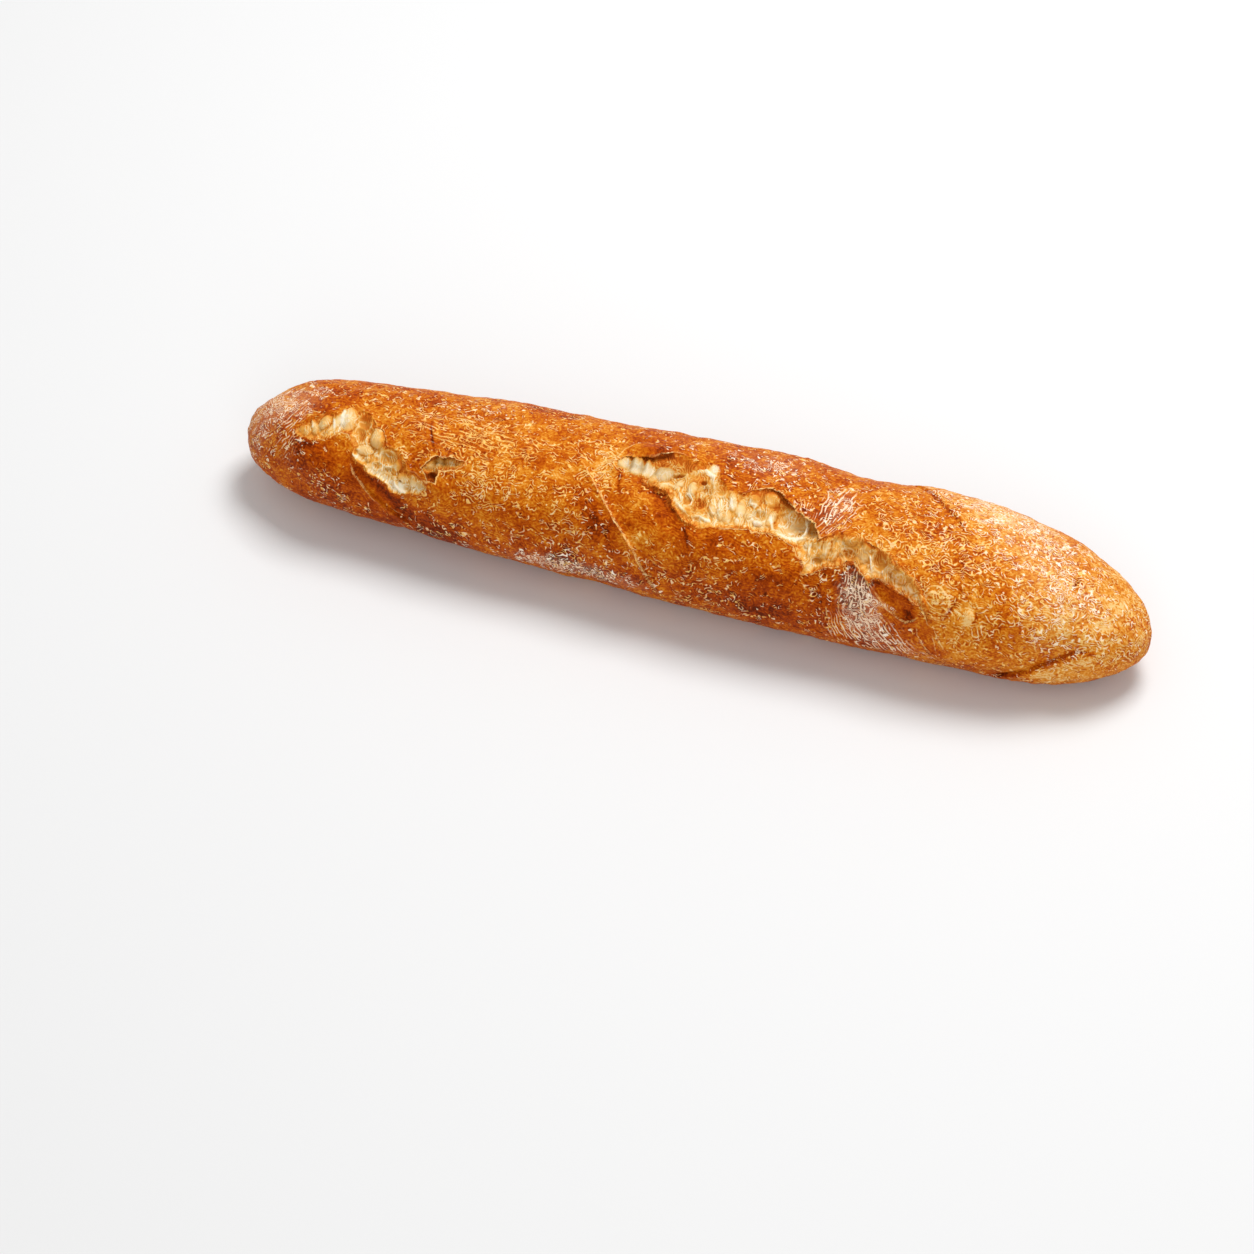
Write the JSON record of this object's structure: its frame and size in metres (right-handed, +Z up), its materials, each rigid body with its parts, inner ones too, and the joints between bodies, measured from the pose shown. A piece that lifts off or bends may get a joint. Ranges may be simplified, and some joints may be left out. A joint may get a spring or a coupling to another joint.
{
  "type": "baguette",
  "caption": "Short crusty baguette with rounded ends and a flat base, its slanted scores burst open along the top and front to show pale crumb.",
  "frame": {"origin": "centre of the loaf's bounding box in plan, on the surface that its flat base rests on", "axes": "+X along the loaf towards its broader end, +Z up, with the burst scores on the -Y side and the top"},
  "size_m": [0.32, 0.0594, 0.0485],
  "materials": {
    "crust": "baked bread crust, golden to dark brown, dusted with flour in places, over cream crumb in the burst scores"
  },
  "bodies": {
    "root": {"loaf": "crust"}
  },
  "joints": []
}
